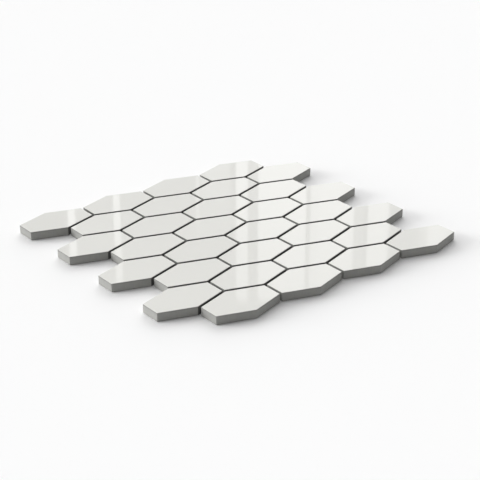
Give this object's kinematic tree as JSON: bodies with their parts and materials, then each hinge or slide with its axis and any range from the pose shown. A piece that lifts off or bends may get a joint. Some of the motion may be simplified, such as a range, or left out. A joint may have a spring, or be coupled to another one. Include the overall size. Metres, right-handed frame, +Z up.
{
  "type": "hexagon mosaic tile sheet",
  "caption": "Flat sheet of elongated hexagon tiles with glazed faces, set in interlocking offset rows with narrow open joints on an open backing mesh.",
  "frame": {"origin": "middle of the sheet's underside, on the surface that the sheet lies on", "axes": "+X along the tile rows, towards the side where the even rows stand out; +Y across the rows, from row 8 to row 1; +Z up, out of the glazed faces"},
  "size_m": [0.3012, 0.2732, 0.008],
  "materials": {
    "glazed_tile": "off-white glaze on the face and edges, bare pressed body at the back",
    "backing_mesh": "open weave of glass fibre yarns in a white plastic coating"
  },
  "bodies": {
    "root": {"tile_r1_c1": "glazed_tile", "tile_r1_c2": "glazed_tile", "tile_r1_c3": "glazed_tile", "tile_r1_c4": "glazed_tile", "tile_r2_c1": "glazed_tile", "tile_r2_c2": "glazed_tile", "tile_r2_c3": "glazed_tile", "tile_r2_c4": "glazed_tile", "tile_r3_c1": "glazed_tile", "tile_r3_c2": "glazed_tile", "tile_r3_c3": "glazed_tile", "tile_r3_c4": "glazed_tile", "tile_r4_c1": "glazed_tile", "tile_r4_c2": "glazed_tile", "tile_r4_c3": "glazed_tile", "tile_r4_c4": "glazed_tile", "tile_r5_c1": "glazed_tile", "tile_r5_c2": "glazed_tile", "tile_r5_c3": "glazed_tile", "tile_r5_c4": "glazed_tile", "tile_r6_c1": "glazed_tile", "tile_r6_c2": "glazed_tile", "tile_r6_c3": "glazed_tile", "tile_r6_c4": "glazed_tile", "tile_r7_c1": "glazed_tile", "tile_r7_c2": "glazed_tile", "tile_r7_c3": "glazed_tile", "tile_r7_c4": "glazed_tile", "tile_r8_c1": "glazed_tile", "tile_r8_c2": "glazed_tile", "tile_r8_c3": "glazed_tile", "tile_r8_c4": "glazed_tile", "backing_mesh_1": "backing_mesh", "backing_mesh_2": "backing_mesh", "backing_mesh_3": "backing_mesh", "backing_mesh_4": "backing_mesh", "backing_mesh_5": "backing_mesh", "backing_mesh_6": "backing_mesh", "backing_mesh_7": "backing_mesh", "backing_mesh_8": "backing_mesh"}
  },
  "joints": []
}
